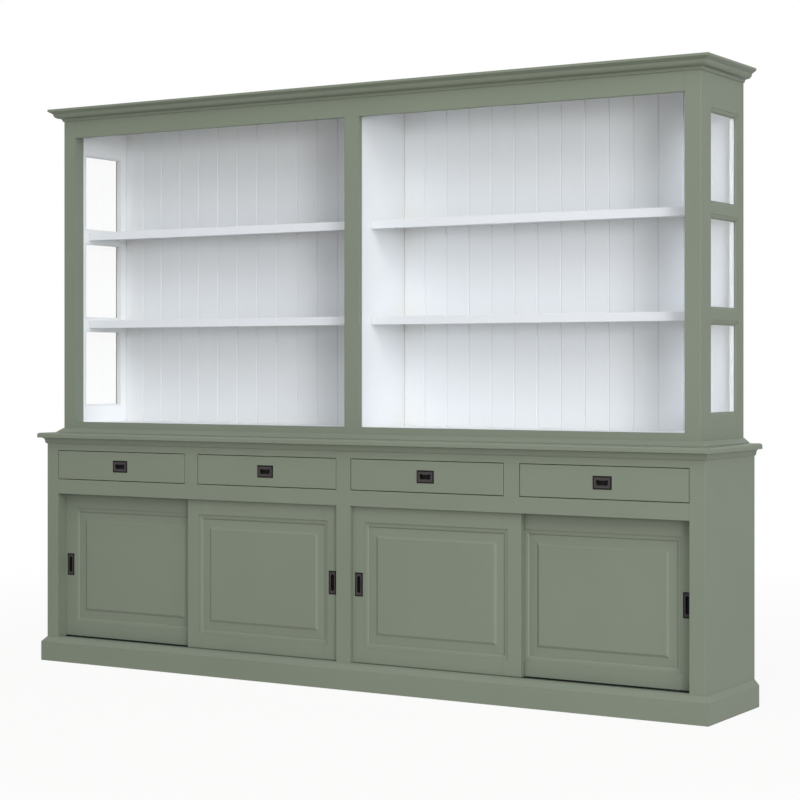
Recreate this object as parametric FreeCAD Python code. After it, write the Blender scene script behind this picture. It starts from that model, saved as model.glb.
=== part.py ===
"""Two-piece display cabinet: a base with four drawers and four sliding doors, and an
open upper case with glazed sides, shelves, a tongue-and-groove back and a cornice.

Millimetres. X runs along the cabinet, the front faces -Y and +Z is up. The origin is on
the floor, in the middle of the cabinet's footprint.
"""
import FreeCAD, Part
import math
import os
from FreeCAD import Vector

# Base face frame
drawer_opening_width = 658.0
drawer_opening_height = 120.5
drawer_muntin_width = 63.0
centre_stile_width = 64.0
corner_stile_width = 59.0
base_frame_thickness = 16.0
bottom_rail_height = 102.5
door_opening_height = 591.0
mid_rail_height = 59.5
base_top_rail_height = 51.5

# Base carcass
base_side_thickness = 22.0
base_back_thickness = 10.0
base_floor_thickness = 18.0
base_floor_drop = 10.0           # floor below the bottom rail's top edge
base_divider_thickness = 24.0
base_shelf_thickness = 20.0
base_shelf_height = 290.0        # shelf's underside above the floor panel
base_shelf_setback = 22.0        # behind the rear sliding doors
door_jamb_clearance = 1.0        # between a jamb and the rear door's face

# Plinth
plinth_height = 98.0
plinth_thickness = 18.0
plinth_chamfer_height = 20.0

# Worktop and the bed moulding under it
worktop_overhang = 30.0
nose_radius = 9.0                # worktop's rounded upper edge
nose_square = 11.0               # upright edge below it
bed_cove_height = 16.0
bed_cove_out = 12.0
bed_fillet_height = 3.0
bed_fillet_out = 2.0
bed_ovolo_height = 6.0
bed_ovolo_out = 5.0

# Drawer deck, runners and kickers
deck_drop = 8.0                  # deck's top below the drawer opening
deck_thickness = 12.0
runner_width = 44.0
runner_clearance = 0.3
runner_setback = 5.0             # runners and kickers behind the drawer front
guide_thickness = 12.0
guide_height = 40.0
guide_clearance = 0.5
kicker_width = 40.0
kicker_clearance = 2.5

# Drawers
drawer_gap = 2.5                 # around a drawer front in its opening
drawer_front_thickness = 20.0
drawer_box_inset = 3.0           # box side from the opening's edge
drawer_sill_clearance = 2.3      # box above the rail under it
drawer_box_headroom = 16.7       # box below the rail over it
drawer_rear_clearance = 38.0
drawer_board_thickness = 12.0
drawer_bottom_thickness = 6.0
drawer_bottom_raise = 8.0

# Sliding doors
door_thickness = 24.0
door_frame_gap = 1.5             # face frame to the front doors
door_pair_gap = 7.5              # front doors to the rear doors
door_edge_cover = 4.0            # door edge hidden behind a stile
door_overlap = 59.0              # the two doors of a pair, closed
door_lift_clearance = 8.0        # under the drawer deck, to lift the door out
door_stile_width = 55.5
door_bottom_rail_height = 57.5
door_top_rail_height = 92.0
sticking_width = 19.0            # moulded inner edge of a door frame
sticking_depth = 9.5
sticking_step = 3.5              # quirk at the moulding's outer edge
sticking_flat = 1.5              # flat at its inner edge
sticking_round = 9.0
land_fall = 0.8                  # how far a moulded edge's land leans inwards
panel_tongue = 7.0
panel_tongue_thickness = 6.0
panel_groove_clearance = 0.2
panel_margin = 29.5              # sloping border round the raised field
panel_margin_rise = 1.5
panel_shoulder_rise = 4.5
panel_shoulder_run = 9.5

# Door track, glides and top guides
track_width = 8.0
track_height = 7.0
glide_length = 40.0
glide_width = 18.0
glide_inset = 80.0
glide_floor_gap = 0.6
glide_clearance = 0.3
glide_roof = 3.2                 # over the track
top_guide_clearance = 0.5
top_guide_thickness = 6.5
top_guide_grip = 13.0            # guide strips below a door's top edge

# Flush pulls
pull_proud = 2.5
pull_bevel = 1.5
pull_border = 5.0
pull_border_sink = 0.8
pull_cup_depth = 12.0
pull_cup_floor = 1.5
pull_cup_wall = 2.0
pull_mortise_clearance = 0.3
drawer_pull_width = 74.0
drawer_pull_height = 48.0
drawer_pocket_width = 46.0
drawer_pocket_height = 21.0
drawer_pocket_lip = 3.0          # how far the finger lip dips
drawer_pocket_rise = 1.5         # how far the lower edge rises
drawer_pocket_corner = 8.0
door_pull_width = 35.0
door_pull_height = 90.0
door_pull_inset = 31.5           # from the door's edge to the pull's middle
door_pocket_width = 15.0
door_pocket_height = 64.0

# Upper case, front
upper_front_setback = 57.0
upper_side_setback = 42.0
upper_frame_thickness = 24.0
upper_post_depth = 53.0
upper_bottom_rail_height = 45.0
upper_top_rail_height = 102.0
upper_top_thickness = 18.0
upper_floor_thickness = 18.0
upper_floor_drop = 5.0           # floor below the bottom rail's top edge
partition_thickness = 22.0
shelf_thickness = 33.0           # at its front edge
shelf_board_thickness = 18.0     # behind the front lip
shelf_lip_depth = 20.0
shelf_setback = 121.0
shelf_clearance = 0.5

# Upper case, glazed sides
side_frame_thickness = 30.0
side_front_stile_width = 52.0
window_width = 221.0
side_rear_stile_width = 65.0
window_height = 306.0
window_count = 3
side_bottom_rail_height = 115.0
side_rail_beyond_shelf = 15.25   # above and below a shelf's edge
side_top_rail_height = 168.0
window_bevel_width = 17.0
window_bevel_depth = 7.0
window_bevel_step = 1.5
window_bevel_flat = 2.5
window_bevel_round = 11.0
glass_thickness = 4.0
glass_lip = 2.0                  # frame in front of the glass, behind the bevel
glass_rebate = 8.0
glass_edge_clearance = 0.5

# Tongue-and-groove back
board_pitch = 100.0
board_first_width = 93.0
board_thickness = 18.0
board_groove = 3.0
board_least_width = 9.0          # the last board is never cut narrower
board_back_rebate = 4.0          # boards in from the case's back edge

# Cornice and waist moulding
cornice_bead_height = 5.5
cornice_bead_out = 5.5
cornice_cove_height = 7.0
cornice_cove_out = 9.0
cornice_ovolo_height = 18.5
cornice_ovolo_out = 18.5
cornice_slope_height = 10.0
cornice_slope_out = 16.0
cornice_lip_height = 9.0
cornice_lip_round = 2.0
waist_foot_height = 2.5
waist_slope_height = 16.0
waist_slope_out = 20.0
waist_ledge_out = 3.0

# Shelf pins and the screws that join the two cases
pin_radius = 2.5
pin_hole_depth = 8.0
pin_reach = 9.0
pin_seat_gap = 0.05
pin_front_inset = 40.0
pin_rear_inset = 60.0
screw_radius = 3.5
screw_length = 66.0
screw_head_radius = 7.0
screw_head_height = 4.0
screw_edge_inset = 14.0

# Softened edges
edge_radius = 1.5
moulding_facets = 6
mitre_margin = 1.0               # a mitre's cut above and below the moulding
same_point = 1e-6

# Levels, floor upwards
worktop_thickness = nose_radius + nose_square
floor_top = bottom_rail_height - base_floor_drop
door_opening_top = bottom_rail_height + door_opening_height
drawer_opening_bottom = door_opening_top + mid_rail_height
drawer_opening_top = drawer_opening_bottom + drawer_opening_height
worktop_bottom = drawer_opening_top + base_top_rail_height
worktop_top = worktop_bottom + worktop_thickness
deck_top = drawer_opening_bottom - deck_drop
deck_bottom = deck_top - deck_thickness
drawer_box_bottom = drawer_opening_bottom + drawer_sill_clearance
drawer_box_top = drawer_opening_top - drawer_box_headroom
drawer_pull_level = (drawer_opening_bottom + drawer_opening_top) / 2
runner_top = drawer_box_bottom - runner_clearance
door_bottom = floor_top + track_height + glide_clearance + glide_roof
door_top = deck_bottom - door_lift_clearance
door_pull_level = (bottom_rail_height + door_opening_top) / 2
base_shelf_low = floor_top + base_shelf_height
side_mid_rail_height = shelf_thickness + 2 * side_rail_beyond_shelf
window_pitch = window_height + side_mid_rail_height
first_window_bottom = worktop_top + side_bottom_rail_height
last_window_top = first_window_bottom + (window_count - 1) * window_pitch + window_height
upper_frame_top = last_window_top + side_top_rail_height
cabinet_top = upper_frame_top + upper_top_thickness
upper_opening_bottom = worktop_top + upper_bottom_rail_height
upper_opening_top = upper_frame_top - upper_top_rail_height
upper_floor_top = upper_opening_bottom - upper_floor_drop
upper_floor_bottom = upper_floor_top - upper_floor_thickness

# Distances from the middle, outwards
half_opening_width = 2 * drawer_opening_width + drawer_muntin_width
opening_inner = centre_stile_width / 2
opening_outer = opening_inner + half_opening_width
base_half = opening_outer + corner_stile_width
base_inner_half = base_half - base_side_thickness
upper_half = base_half - upper_side_setback
side_frame_inner = upper_half - side_frame_thickness
post_inner = upper_half - corner_stile_width
divider_half = base_divider_thickness / 2
partition_half = partition_thickness / 2

# Places from front to back
upper_depth = upper_post_depth + side_front_stile_width + window_width + side_rear_stile_width
base_depth = upper_front_setback + upper_depth
back_face = (base_depth + worktop_overhang) / 2
front_face = back_face - base_depth
base_frame_back = front_face + base_frame_thickness
base_back_face = back_face - base_back_thickness
front_door_face = base_frame_back + door_frame_gap
rear_door_face = front_door_face + door_thickness + door_pair_gap
rear_door_back = rear_door_face + door_thickness
upper_face = front_face + upper_front_setback
upper_frame_back = upper_face + upper_frame_thickness
post_back = upper_face + upper_post_depth
window_front = post_back + side_front_stile_width
window_back = window_front + window_width
board_back = back_face - board_back_rebate
board_face = board_back - board_thickness
shelf_front = upper_face + shelf_setback
glass_setback = window_bevel_depth + glass_lip
drawer_front_back = front_face + drawer_front_thickness
drawer_box_back = base_back_face - drawer_rear_clearance
runner_front = drawer_front_back + runner_setback

door_width = (half_opening_width + 2 * door_edge_cover + door_overlap) / 2
drawer_pitch = drawer_opening_width + drawer_muntin_width
drawer_centres = [side * (opening_inner + drawer_opening_width / 2 + step * drawer_pitch)
                  for side, step in ((-1, 1), (-1, 0), (1, 0), (1, 1))]
shelf_levels = [first_window_bottom + n * window_pitch - side_mid_rail_height / 2
                for n in range(1, window_count)]
halves = (-1, 1)


def box(x0, x1, y0, y1, z0, z1):
    x0, x1 = sorted((x0, x1))
    return Part.makeBox(x1 - x0, y1 - y0, z1 - z0, Vector(x0, y0, z0))


def cylinder(start, axis, radius, length):
    return Part.makeCylinder(radius, length, start, axis)


def outline_face(start, steps, place):
    """Closed face from a start point and steps: an end point, or (middle, end) of an arc."""
    edges = []
    here = place(start)
    for step in steps:
        if isinstance(step[0], tuple):
            middle, end = place(step[0]), place(step[1])
            edges.append(Part.Arc(here, middle, end).toShape())
        else:
            end = place(step)
            edges.append(Part.LineSegment(here, end).toShape())
        here = end
    if not here.isEqual(place(start), same_point):
        edges.append(Part.LineSegment(here, place(start)).toShape())
    return Part.Face(Part.Wire(edges))


def quarter(start, end, bulge_corner):
    """Outline step round a quarter curve that bends towards bulge_corner."""
    share = 2 ** 0.5 - 1
    middle = tuple((a + b) / 2 * (1 - share) + c * share for a, b, c in zip(start, end, bulge_corner))
    return middle, end


def moulding(half, face, back, reach, start, steps):
    """Front and two side lengths of a moulding, mitred at the front corners.

    The profile is given as (distance out from the case, level)."""
    front_profile = outline_face(start, steps, lambda p: Vector(-half - reach, face - p[0], p[1]))
    front = front_profile.extrude(Vector(2 * (half + reach), 0, 0))
    low, high = front.BoundBox.ZMin - mitre_margin, front.BoundBox.ZMax + mitre_margin
    runs = []
    for side in halves:
        place = lambda p: Vector(side * (half + p[0]), face - reach, p[1])
        run = outline_face(start, steps, place).extrude(Vector(0, back - face + reach, 0))
        corner = (side * half, face)
        tip = (side * (half + reach), face - reach)
        front = front.cut(wedge(corner, tip, (tip[0], corner[1]), low, high))
        runs.append(run.cut(wedge(corner, tip, (corner[0], tip[1]), low, high)))
    return [front] + runs


def wedge(first, second, third, low, high):
    points = [Vector(p[0], p[1], low) for p in (first, second, third, first)]
    return Part.Face(Part.makePolygon(points)).extrude(Vector(0, 0, high - low))


def lofted(rectangle, profile, place):
    """Solid through rectangles: each (grow, depth) of the profile grows the first one."""
    u0, u1, v0, v1 = rectangle
    wires = []
    for grow, depth in profile:
        corners = [(u0 - grow, v0 - grow), (u1 + grow, v0 - grow),
                   (u1 + grow, v1 + grow), (u0 - grow, v1 + grow)]
        wires.append(Part.makePolygon([place(u, v, depth) for u, v in corners + corners[:1]]))
    return Part.makeLoft(wires, True, True)


def ovolo_recess(width, depth, step, flat, run):
    """Profile of a moulded edge from the sight line out to the face: a flat, a round, a sunk land, a quirk."""
    drop = depth - step - land_fall
    profile = []
    for n in range(moulding_facets + 1):
        turn = math.pi / 2 * n / moulding_facets
        profile.append((flat + run * (1 - math.cos(turn)), depth - drop * math.sin(turn)))
    return profile + [(width, step), (width, 0)]


def eased(board, chosen):
    """The board with the chosen edges rounded."""
    return board.makeFillet(edge_radius, [edge for edge in board.Edges
                                          if all(chosen(v.Point) for v in edge.Vertexes)])


def eased_front(board, face):
    return eased(board, lambda point: abs(point.y - face) < same_point)


def eased_corner(board, x, y):
    return eased(board, lambda point: abs(point.x - x) + abs(point.y - y) < same_point)


# Base carcass

def base_face_frame():
    y0, y1 = front_face, base_frame_back
    pieces = []
    for side in halves:
        stile = box(side * opening_outer, side * base_half, y0, y1, 0, worktop_bottom)
        pieces.append(eased_corner(stile, side * base_half, y0))
    for low, high in ((0, bottom_rail_height),
                      (door_opening_top, drawer_opening_bottom),
                      (drawer_opening_top, worktop_bottom)):
        pieces.append(box(-opening_outer, opening_outer, y0, y1, low, high))
    pieces.append(box(-opening_inner, opening_inner, y0, y1, bottom_rail_height, door_opening_top))
    muntins = [(-opening_inner, opening_inner)]
    for side in halves:
        near = side * (opening_inner + drawer_opening_width)
        muntins.append((near, near + side * drawer_muntin_width))
    for x0, x1 in muntins:
        pieces.append(box(x0, x1, y0, y1, drawer_opening_bottom, drawer_opening_top))
    return pieces


def plinth_boards():
    top = plinth_height
    steps = [(plinth_thickness, 0), (plinth_thickness, top - plinth_chamfer_height), (0, top)]
    boards = moulding(base_half, front_face, back_face, plinth_thickness, (0, 0), steps)
    rear_top = floor_top - base_floor_thickness
    boards.append(box(-base_inner_half, base_inner_half, back_face - plinth_thickness, back_face, 0, rear_top))
    return boards


def base_sides():
    return [box(side * base_inner_half, side * base_half, base_frame_back, back_face, 0, worktop_bottom)
            for side in halves]


def base_floor():
    return box(-base_inner_half, base_inner_half, base_frame_back, base_back_face,
               floor_top - base_floor_thickness, floor_top)


def base_back_panel():
    return box(-base_inner_half, base_inner_half, base_back_face, back_face,
               floor_top - base_floor_thickness, worktop_bottom)


def base_centre_divider():
    return box(-divider_half, divider_half, base_frame_back, base_back_face, floor_top, deck_bottom)


def door_jambs():
    return [box(side * opening_outer, side * base_inner_half, base_frame_back,
                rear_door_face - door_jamb_clearance, floor_top, deck_bottom) for side in halves]


def drawer_deck():
    return box(-base_inner_half, base_inner_half, base_frame_back, base_back_face, deck_bottom, deck_top)


def drawer_runners():
    """Under and beside each drawer side, and one kicker over each drawer box."""
    pieces = []
    box_half = drawer_opening_width / 2 - drawer_box_inset
    for centre in drawer_centres:
        for side in halves:
            side_middle = centre + side * (box_half - drawer_board_thickness / 2)
            guide = centre + side * (box_half + guide_clearance)
            pieces.append(box(side_middle - runner_width / 2, side_middle + runner_width / 2,
                              runner_front, base_back_face, deck_top, runner_top))
            pieces.append(box(guide, guide + side * guide_thickness, runner_front, base_back_face,
                              runner_top, runner_top + guide_height))
        pieces.append(box(centre - kicker_width / 2, centre + kicker_width / 2,
                          runner_front, base_back_face, drawer_box_top + kicker_clearance, worktop_bottom))
    return pieces


def base_shelves():
    low = base_shelf_low
    return [box(side * (divider_half + shelf_clearance), side * (base_inner_half - shelf_clearance),
                rear_door_back + base_shelf_setback, base_back_face - shelf_clearance,
                low, low + base_shelf_thickness) for side in halves]


def door_tracks():
    """Rails on the floor under both door planes, and strips that guide the doors' tops."""
    pieces = []
    for side in halves:
        inner, outer = side * divider_half, side * base_inner_half
        for face in (front_door_face, rear_door_face):
            middle = face + door_thickness / 2
            end = side * opening_outer if face == front_door_face else outer
            pieces.append(box(inner, end, middle - track_width / 2, middle + track_width / 2,
                              floor_top, floor_top + track_height))
        low = door_top - top_guide_grip
        between = front_door_face + door_thickness + top_guide_clearance
        behind = rear_door_back + top_guide_clearance
        pieces.append(box(inner, side * opening_outer, between, rear_door_face - door_jamb_clearance,
                          low, deck_bottom))
        pieces.append(box(inner, outer, behind, behind + top_guide_thickness, low, deck_bottom))
    return pieces


def worktop():
    top, nose = worktop_top, worktop_overhang
    round_start, round_end = (nose - nose_radius, top), (nose, top - nose_radius)
    steps = [(nose, worktop_bottom), round_end, quarter(round_end, round_start, (nose, top)), (0, top)]
    edges = moulding(base_half, front_face, back_face, nose, (0, worktop_bottom), steps)
    board = box(-base_half, base_half, front_face, back_face, worktop_bottom, top)
    return drilled(board.fuse(edges).removeSplitter())


def worktop_moulding():
    top = worktop_bottom
    ovolo_low = top - bed_cove_height - bed_fillet_height - bed_ovolo_height
    fillet_low = ovolo_low + bed_ovolo_height
    cove_low = fillet_low + bed_fillet_height
    fillet_out = bed_ovolo_out + bed_fillet_out
    reach = fillet_out + bed_cove_out
    ovolo = quarter((0, ovolo_low), (bed_ovolo_out, fillet_low), (bed_ovolo_out, ovolo_low))
    cove = quarter((fillet_out, cove_low), (reach, top), (fillet_out, top))
    steps = [ovolo, (fillet_out, fillet_low), (fillet_out, cove_low), cove, (0, top)]
    return moulding(base_half, front_face, back_face, reach, (0, ovolo_low), steps)


# Upper case

def upper_face_frame():
    y0, y1 = upper_face, upper_frame_back
    return [box(-opening_inner, opening_inner, y0, y1, upper_opening_bottom, upper_opening_top),
            box(-post_inner, post_inner, y0, y1, upper_opening_top, upper_frame_top),
            box(-post_inner, post_inner, y0, y1, worktop_top, upper_opening_bottom)]


def corner_posts():
    posts = []
    for side in halves:
        post = box(side * post_inner, side * upper_half, upper_face, post_back, worktop_top, upper_frame_top)
        posts.append(drilled(eased_corner(post, side * upper_half, upper_face)))
    return posts


def drilled(piece):
    """The piece with the case screws' holes."""
    for start in screw_starts():
        piece = piece.cut(cylinder(start, Vector(0, 0, 1), screw_radius, screw_length))
    return piece


def screw_starts():
    post_middle = (post_inner + upper_half) / 2
    rear_middle = (side_frame_inner + upper_half) / 2
    places = [(post_middle, (upper_face + post_back) / 2), (rear_middle, base_back_face - screw_edge_inset)]
    return [Vector(side * x, y, worktop_bottom) for side in halves for x, y in places]


def case_screws():
    screws = []
    for start in screw_starts():
        head = Vector(start.x, start.y, start.z - screw_head_height)
        shank = cylinder(start, Vector(0, 0, 1), screw_radius, screw_length)
        screws.append(shank.fuse(cylinder(head, Vector(0, 0, 1), screw_head_radius, screw_head_height)))
    return screws


def upper_floor():
    board = box(-side_frame_inner, side_frame_inner, upper_frame_back, board_face,
                upper_floor_bottom, upper_floor_top)
    for side in halves:
        board = board.cut(box(side * post_inner, side * upper_half, upper_face, post_back,
                              upper_floor_bottom, upper_floor_top))
    return board


def upper_top():
    return box(-upper_half, upper_half, upper_face, back_face, upper_frame_top, cabinet_top)


def upper_partition():
    """Stands on the case's floor, with a rear edge down to the worktop between the back boards."""
    board = box(-partition_half, partition_half, upper_frame_back, board_face, upper_floor_top, upper_frame_top)
    rear_edge = box(-partition_half, partition_half, board_face, board_back, worktop_top, upper_frame_top)
    return board.fuse(rear_edge).removeSplitter()


def back_boards(side):
    low, high = sorted((side * partition_half, side * side_frame_inner))
    edges = [low, low + board_first_width]
    while edges[-1] + board_pitch < high - board_least_width:
        edges.append(edges[-1] + board_pitch)
    edges.append(high)
    return [back_board(x0, x1) for x0, x1 in zip(edges, edges[1:])]


def back_board(x0, x1):
    face, chamfer = board_face, board_groove
    corners = [(x0, face + chamfer), (x0 + chamfer, face), (x1 - chamfer, face), (x1, face + chamfer),
               (x1, board_back), (x0, board_back), (x0, face + chamfer)]
    section = Part.Face(Part.makePolygon([Vector(x, y, worktop_top) for x, y in corners]))
    return section.extrude(Vector(0, 0, upper_frame_top - worktop_top))


def window_bottoms():
    return [first_window_bottom + n * window_pitch for n in range(window_count)]


def side_window_cut(side, low):
    """One window's sight opening, moulded outer edge and inner rebate for the glass."""
    high = low + window_height
    sight = box(side * side_frame_inner, side * upper_half, window_front, window_back, low, high)
    profile = ovolo_recess(window_bevel_width, window_bevel_depth, window_bevel_step, window_bevel_flat,
                           window_bevel_round)
    edge = lofted((window_front, window_back, low, high), profile,
                  lambda y, z, depth: Vector(side * (upper_half - depth), y, z))
    rebate = box(side * side_frame_inner, side * (upper_half - glass_setback),
                 window_front - glass_rebate, window_back + glass_rebate,
                 low - glass_rebate, high + glass_rebate)
    return sight.fuse([edge, rebate])


def side_frame(side):
    """Two stiles and the rails between them, cut from one moulded blank."""
    blank = box(side * side_frame_inner, side * upper_half, post_back, back_face, worktop_top, upper_frame_top)
    for low in window_bottoms():
        blank = blank.cut(side_window_cut(side, low))
    blank = bored(drilled(blank))
    spans = [(post_back, window_front, worktop_top, upper_frame_top),
             (window_back, back_face, worktop_top, upper_frame_top)]
    rail_edges = [worktop_top]
    for low in window_bottoms():
        rail_edges += [low, low + window_height]
    rail_edges.append(upper_frame_top)
    for low, high in zip(rail_edges[::2], rail_edges[1::2]):
        spans.append((window_front, window_back, low, high))
    return [blank.common(box(side * side_frame_inner, side * upper_half, *span)) for span in spans]


def side_glass(side):
    grow = glass_rebate - glass_edge_clearance
    outer = upper_half - glass_setback
    return [box(side * (outer - glass_thickness), side * outer, window_front - grow, window_back + grow,
                low - grow, low + window_height + grow) for low in window_bottoms()]


def glazing_beads():
    beads = []
    glass_back = upper_half - glass_setback - glass_thickness
    grow = glass_rebate
    for side in halves:
        inner, outer = side * side_frame_inner, side * glass_back
        for low in window_bottoms():
            high = low + window_height
            for y0, y1 in ((window_front - grow, window_front), (window_back, window_back + grow)):
                beads.append(box(inner, outer, y0, y1, low - grow, high + grow))
            for z0, z1 in ((low - grow, low), (high, high + grow)):
                beads.append(box(inner, outer, window_front, window_back, z0, z1))
    return beads


def upper_shelves():
    """Boards with a deeper lip along the front edge."""
    half_thickness = shelf_thickness / 2
    back = board_face - shelf_clearance
    shelves = []
    for side in halves:
        near, far = side * (partition_half + shelf_clearance), side * (side_frame_inner - shelf_clearance)
        for level in shelf_levels:
            low, high = level - half_thickness, level + half_thickness
            under = box(near, far, shelf_front + shelf_lip_depth, back, low, high - shelf_board_thickness)
            shelf = eased_front(box(near, far, shelf_front, back, low, high), shelf_front)
            shelves.append(shelf.cut(under))
    return shelves


def pin_places():
    """Start point on the panel's face and the direction into the compartment, for each pin."""
    places = []
    upper_rows = [(shelf_front + pin_front_inset, board_face - pin_rear_inset,
                   level + shelf_thickness / 2 - shelf_board_thickness - pin_seat_gap - pin_radius)
                  for level in shelf_levels]
    base_front = rear_door_back + base_shelf_setback
    base_row = (base_front + pin_front_inset, base_back_face - pin_rear_inset,
                base_shelf_low - pin_seat_gap - pin_radius)
    for rows, near, far in ((upper_rows, partition_half, side_frame_inner),
                            ([base_row], divider_half, base_inner_half)):
        for front, rear, level in rows:
            for side in halves:
                for y in (front, rear):
                    places.append((Vector(side * near, y, level), side))
                    places.append((Vector(side * far, y, level), -side))
    return places


def pin(place, direction):
    start = Vector(place.x - direction * pin_hole_depth, place.y, place.z)
    return cylinder(start, Vector(direction, 0, 0), pin_radius, pin_hole_depth + pin_reach)


def shelf_pins():
    return [pin(place, direction) for place, direction in pin_places()]


def bored(panel):
    """The panel with the shelf pins' holes."""
    for hole in shelf_pins():
        panel = panel.cut(hole)
    return panel


def cornice():
    lip_low = cabinet_top - cornice_lip_height
    slope_low = lip_low - cornice_slope_height
    ovolo_low = slope_low - cornice_ovolo_height
    cove_low = ovolo_low - cornice_cove_height
    bead_low = cove_low - cornice_bead_height
    bead_out = cornice_bead_out
    cove_out = bead_out + cornice_cove_out
    ovolo_out = cove_out + cornice_ovolo_out
    reach = ovolo_out + cornice_slope_out
    bead = quarter((0, bead_low), (bead_out, cove_low), (bead_out, bead_low))
    cove = quarter((bead_out, cove_low), (cove_out, ovolo_low), (bead_out, ovolo_low))
    ovolo = quarter((cove_out, ovolo_low), (ovolo_out, slope_low), (ovolo_out, ovolo_low))
    round_low, round_in = (reach, cabinet_top - cornice_lip_round), (reach - cornice_lip_round, cabinet_top)
    steps = [bead, cove, ovolo, (reach, lip_low),
             round_low, quarter(round_low, round_in, (reach, cabinet_top)), (0, cabinet_top)]
    return moulding(upper_half, upper_face, back_face, reach, (0, bead_low), steps)


def waist_moulding():
    low = worktop_top
    foot_top = low + waist_foot_height
    ledge = foot_top + waist_slope_height
    reach = waist_ledge_out + waist_slope_out
    steps = [(reach, low), (reach, foot_top), (waist_ledge_out, ledge), (0, ledge)]
    return moulding(upper_half, upper_face, back_face, reach, (0, low), steps)


# Drawers

def drawer_front(centre):
    half = drawer_opening_width / 2 - drawer_gap
    front = box(centre - half, centre + half, front_face, drawer_front_back,
                drawer_opening_bottom + drawer_gap, drawer_opening_top - drawer_gap)
    cup = (drawer_pocket_width, drawer_pocket_height)
    return eased_front(front, front_face).cut(mortise(centre, front_face, drawer_pull_level, cup))


def drawer_box(centre):
    half = drawer_opening_width / 2 - drawer_box_inset
    board = drawer_board_thickness
    inner = half - board
    low, high = drawer_box_bottom, drawer_box_top
    front, back = drawer_front_back, drawer_box_back
    bottom = low + drawer_bottom_raise
    boards = [box(centre + side * inner, centre + side * half, front, back, low, high) for side in halves]
    for y in (front, back - board):
        boards.append(box(centre - inner, centre + inner, y, y + board, low, high))
    boards.append(box(centre - inner, centre + inner, front + board, back - board,
                      bottom, bottom + drawer_bottom_thickness))
    return boards


# Flush pulls

def mortise(x, face, z, pocket):
    """Blind hole in the wood for a pull's cup."""
    grow = pull_cup_wall + pull_mortise_clearance
    half_width, half_height = pocket[0] / 2 + grow, pocket[1] / 2 + grow
    return box(x - half_width, x + half_width, face, face + pull_cup_depth + pull_mortise_clearance,
               z - half_height, z + half_height)


def flush_pull(x, face, z, width, height, pocket, pocket_face):
    """Bevelled plate on the face, a sunk border and a cup let into the wood."""
    half_width, half_height = width / 2, height / 2
    front = face - pull_proud
    plate = lofted((x - half_width, x + half_width, z - half_height, z + half_height),
                   [(0, 0), (-pull_bevel, pull_proud)],
                   lambda u, v, rise: Vector(u, face - rise, v))
    border = box(x - half_width + pull_border, x + half_width - pull_border, front, front + pull_border_sink,
                 z - half_height + pull_border, z + half_height - pull_border)
    cup_half_width, cup_half_height = pocket[0] / 2 + pull_cup_wall, pocket[1] / 2 + pull_cup_wall
    cup = box(x - cup_half_width, x + cup_half_width, face, face + pull_cup_depth,
              z - cup_half_height, z + cup_half_height)
    hollow = pocket_face.extrude(Vector(0, pull_proud + pull_cup_depth - pull_cup_floor, 0))
    return plate.fuse(cup).removeSplitter().cut(border).cut(hollow)


def drawer_pull(centre):
    z = drawer_pull_level
    right, top = drawer_pocket_width / 2, drawer_pocket_height / 2
    flat, turn = right - drawer_pocket_corner, drawer_pocket_corner - top
    place = lambda p: Vector(centre + p[0], front_face - pull_proud, z + p[1])
    steps = [((0, top - drawer_pocket_lip), (right, top)), (right, turn),
             quarter((right, turn), (flat, -top), (right, -top)),
             ((0, drawer_pocket_rise - top), (-flat, -top)),
             quarter((-flat, -top), (-right, turn), (-right, -top))]
    pocket_face = outline_face((-right, top), steps, place)
    pocket = (drawer_pocket_width, drawer_pocket_height)
    return flush_pull(centre, front_face, z, drawer_pull_width, drawer_pull_height, pocket, pocket_face)


def door_pull(door):
    x, face, z = door["pull_x"], door["face"], door_pull_level
    radius, reach = door_pocket_width / 2, door_pocket_height / 2
    straight = reach - radius
    place = lambda p: Vector(x + p[0], face - pull_proud, z + p[1])
    steps = [(radius, straight), ((0, reach), (-radius, straight)),
             (-radius, -straight), ((0, -reach), (radius, -straight))]
    pocket_face = outline_face((radius, -straight), steps, place)
    pocket = (door_pocket_width, door_pocket_height)
    return flush_pull(x, face, z, door_pull_width, door_pull_height, pocket, pocket_face)


# Sliding doors

def doors():
    """The four doors from the left: the outer ones run behind, the inner ones in front."""
    front_edge = opening_inner - door_edge_cover
    rear_edge = opening_outer + door_edge_cover
    plan = []
    for side, rear in ((-1, True), (-1, False), (1, False), (1, True)):
        edge = side * (rear_edge if rear else front_edge)
        far = edge - side * door_width if rear else edge + side * door_width
        low, high = sorted((edge, far))
        inward = -side if rear else side
        plan.append({"x0": low, "x1": high, "face": rear_door_face if rear else front_door_face,
                     "pull_x": edge + inward * door_pull_inset})
    return plan


def door_sight(door):
    """Opening inside a door frame's moulded edge: x0, x1, z0, z1."""
    inset = door_stile_width + sticking_width
    return (door["x0"] + inset, door["x1"] - inset,
            door_bottom + door_bottom_rail_height + sticking_width,
            door_top - door_top_rail_height - sticking_width)


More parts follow.
